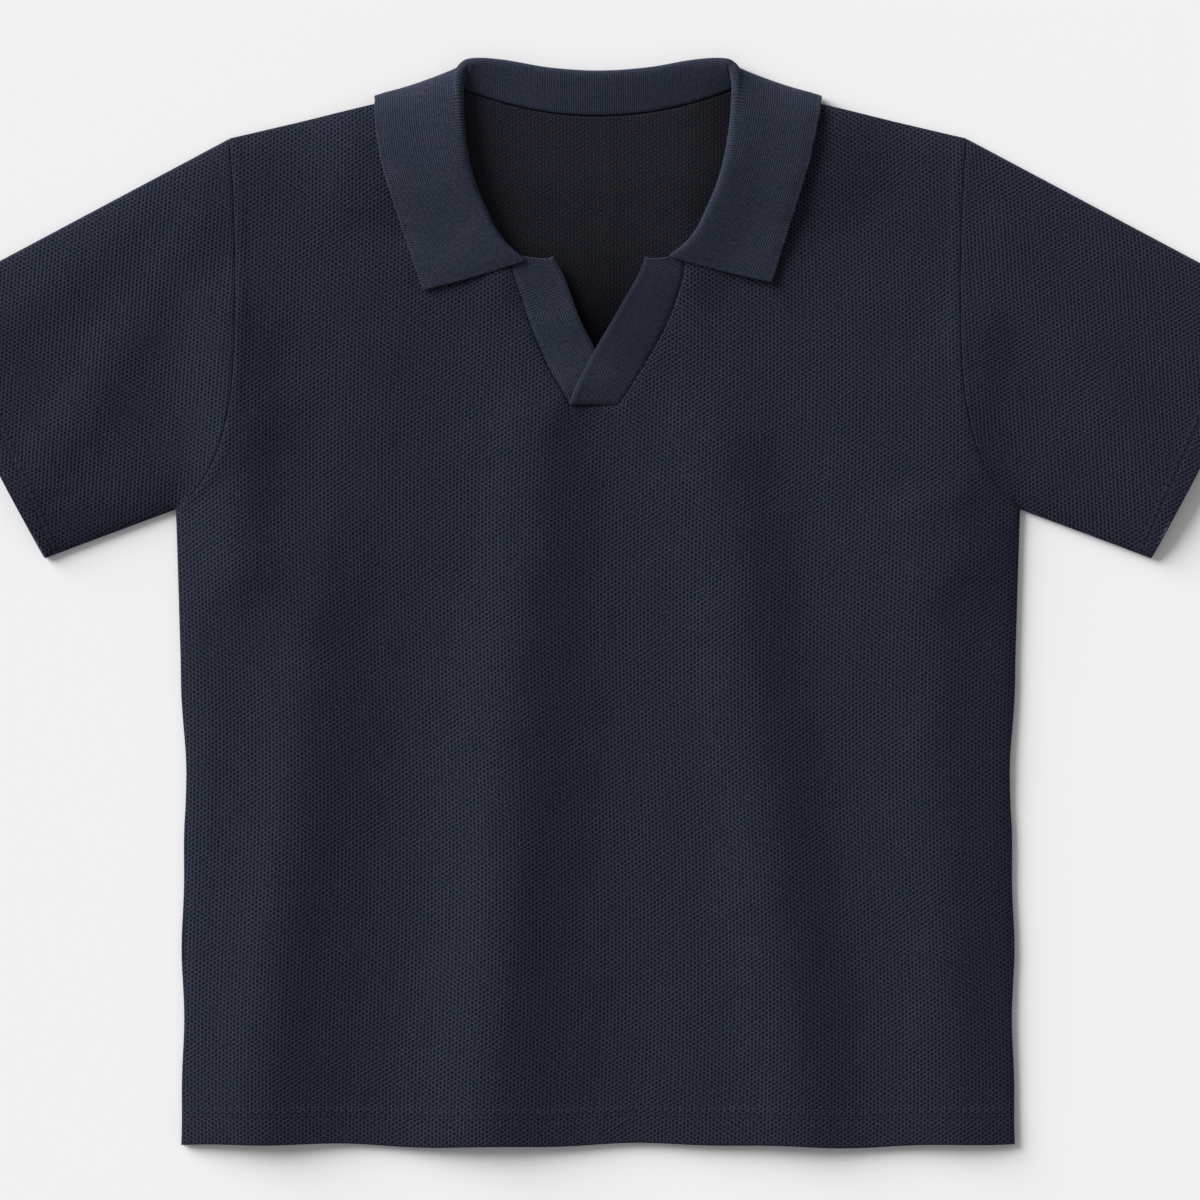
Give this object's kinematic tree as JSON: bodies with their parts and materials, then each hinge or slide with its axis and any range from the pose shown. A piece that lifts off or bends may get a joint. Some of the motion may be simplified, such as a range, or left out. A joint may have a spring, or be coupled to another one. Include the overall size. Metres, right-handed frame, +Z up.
{
  "type": "polo shirt",
  "caption": "Short-sleeved knit polo shirt laid flat, with a folded rib collar and an open V placket without buttons.",
  "frame": {"origin": "centre of the bounding box on the underside, which lies on the table", "axes": "+Z up from the table through the front of the shirt, +Y from the hem to the collar, +X to the right as seen from above, which is the wearer's left"},
  "size_m": [0.895, 0.708, 0.0193],
  "materials": {
    "pique": "matte washed navy cotton pique knit",
    "rib": "matte navy fine rib knit, a shade lighter than the body"
  },
  "bodies": {
    "root": {"body_front": "pique", "body_back": "pique", "sleeve_left": "pique", "sleeve_right": "pique", "collar": "rib", "placket_left": "rib", "placket_right": "rib"}
  },
  "joints": []
}
